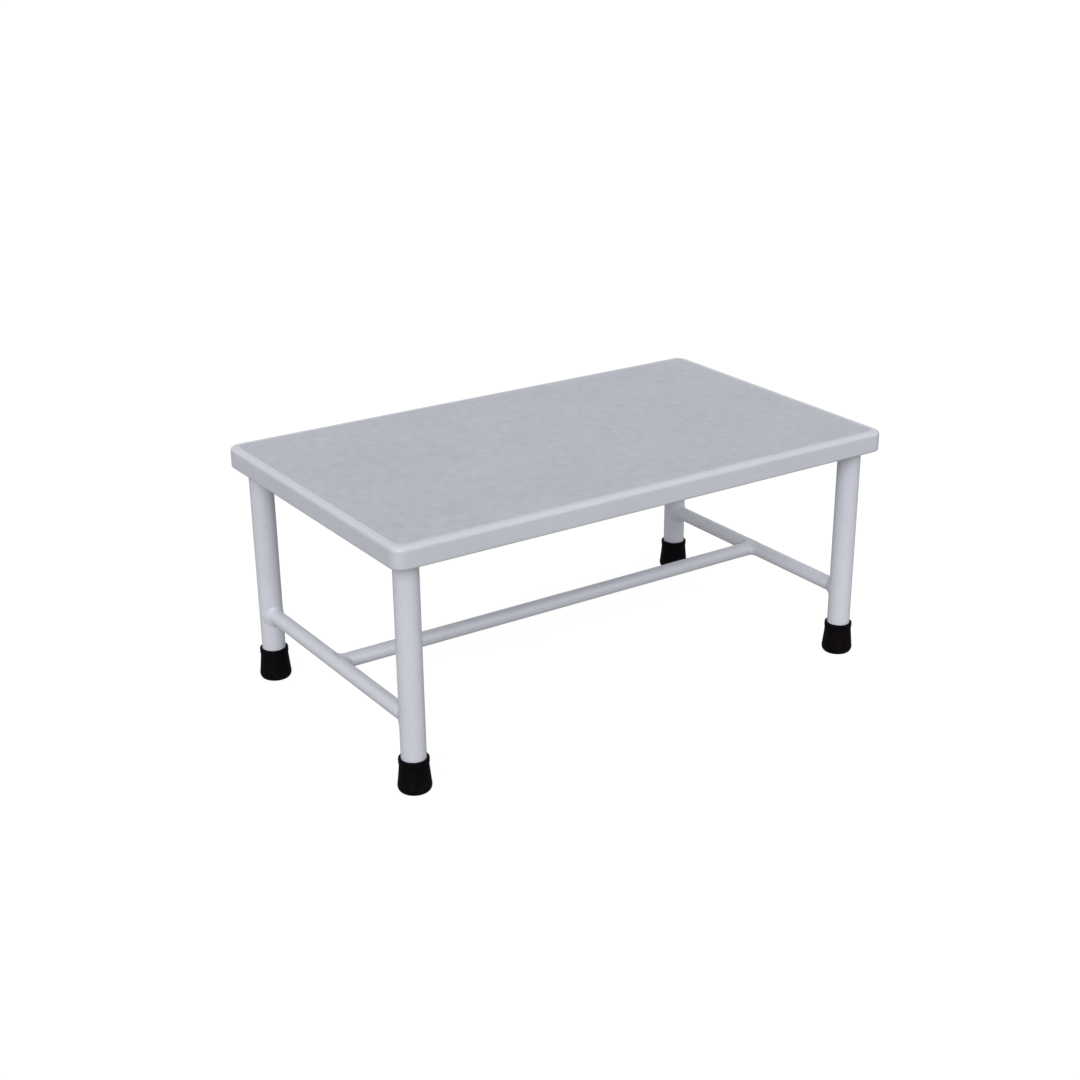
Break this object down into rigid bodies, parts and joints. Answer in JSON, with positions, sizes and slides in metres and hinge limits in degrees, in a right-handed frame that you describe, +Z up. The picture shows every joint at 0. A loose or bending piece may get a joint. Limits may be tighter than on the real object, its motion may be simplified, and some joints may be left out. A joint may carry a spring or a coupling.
{
  "type": "foot step stool",
  "caption": "Single-step foot stool with a skirted sheet-metal top, anti-slip mat, round tube legs, low H-stretcher and rubber feet, for stepping up to an exam table.",
  "frame": {"origin": "on the floor, under the middle of the top", "axes": "+X along the length of the step, +Y from the front edge to the rear edge, +Z up"},
  "size_m": [0.455, 0.27, 0.2],
  "materials": {
    "top_paint": "satin",
    "frame_paint": "satin",
    "mat_rubber": "matte, fine-grained",
    "foot_rubber": "matte",
    "zinc_steel": "zinc plated",
    "pad_felt": "felt"
  },
  "bodies": {
    "root": {"top_pan": "top_paint", "tread_mat": "mat_rubber", "front_bearer": "frame_paint", "rear_bearer": "frame_paint", "left_bearer": "frame_paint", "right_bearer": "frame_paint", "left_cross_bearer": "frame_paint", "right_cross_bearer": "frame_paint", "left_side_rail": "frame_paint", "right_side_rail": "frame_paint", "long_stretcher": "frame_paint", "stretcher_welds": "frame_paint", "side_rail_welds": "frame_paint", "bearer_welds": "frame_paint", "pan_studs": "zinc_steel", "stud_washers": "zinc_steel", "stud_spring_washers": "zinc_steel", "stud_nuts": "zinc_steel", "deck_pads": "pad_felt", "leg_front_left": "frame_paint", "corner_plate_front_left": "frame_paint", "foot_front_left": "foot_rubber", "foot_disc_front_left": "zinc_steel", "leg_front_right": "frame_paint", "corner_plate_front_right": "frame_paint", "foot_front_right": "foot_rubber", "foot_disc_front_right": "zinc_steel", "leg_rear_left": "frame_paint", "corner_plate_rear_left": "frame_paint", "foot_rear_left": "foot_rubber", "foot_disc_rear_left": "zinc_steel", "leg_rear_right": "frame_paint", "corner_plate_rear_right": "frame_paint", "foot_rear_right": "foot_rubber", "foot_disc_rear_right": "zinc_steel"}
  },
  "joints": []
}
